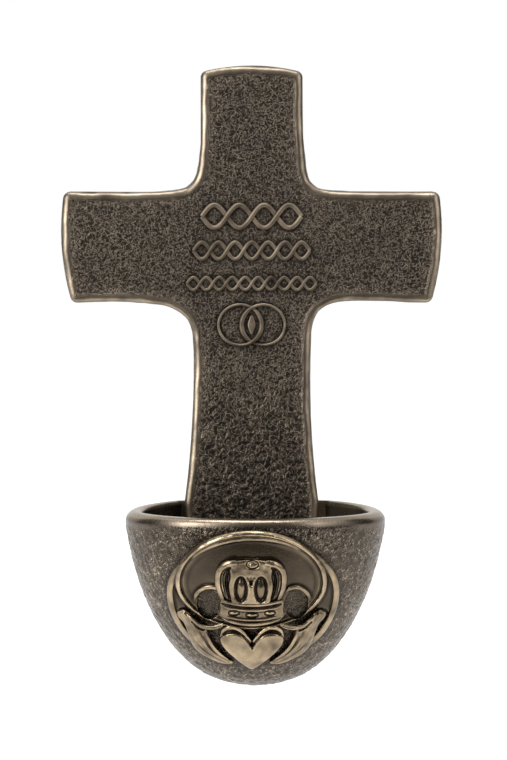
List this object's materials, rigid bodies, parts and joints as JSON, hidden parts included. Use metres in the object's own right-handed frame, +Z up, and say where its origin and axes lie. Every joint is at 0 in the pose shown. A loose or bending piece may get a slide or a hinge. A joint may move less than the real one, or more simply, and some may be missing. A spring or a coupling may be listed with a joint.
{
  "type": "holy water stoup",
  "caption": "Wall-hung cross with flared ends that carries a half-egg water bowl on its foot, with raised linked rings, plaits and a crowned heart held by two hands.",
  "frame": {"origin": "on the wall plane, on the flat back of the cross, behind the middle of the crossing", "axes": "+Z up, +Y into the wall, -Y out into the room, +X to the right as seen from the room"},
  "size_m": [0.1146, 0.0582, 0.185],
  "materials": {
    "patinated_bronze": "antique bronze, dark patina with worn bright edges",
    "rubbed_bronze": "antique bronze, rubbed bright on its high places",
    "zinc_plated_steel": "zinc plated, satin",
    "bare_brass": "turned, satin"
  },
  "bodies": {
    "root": {"cross": "patinated_bronze", "bowl": "patinated_bronze", "claddagh_hoop": "rubbed_bronze", "heart": "rubbed_bronze", "crown": "rubbed_bronze", "crown_band": "rubbed_bronze", "left_hand": "rubbed_bronze", "right_hand": "rubbed_bronze", "linked_ring_left": "rubbed_bronze", "linked_ring_right": "rubbed_bronze", "almond": "rubbed_bronze", "plait_upper": "rubbed_bronze", "plait_middle": "rubbed_bronze", "plait_lower": "rubbed_bronze", "keyhole_plate": "zinc_plated_steel", "keyhole_plate_screws": "zinc_plated_steel", "bowl_screws": "zinc_plated_steel", "threaded_inserts": "bare_brass", "locating_dowels": "zinc_plated_steel"}
  },
  "joints": []
}
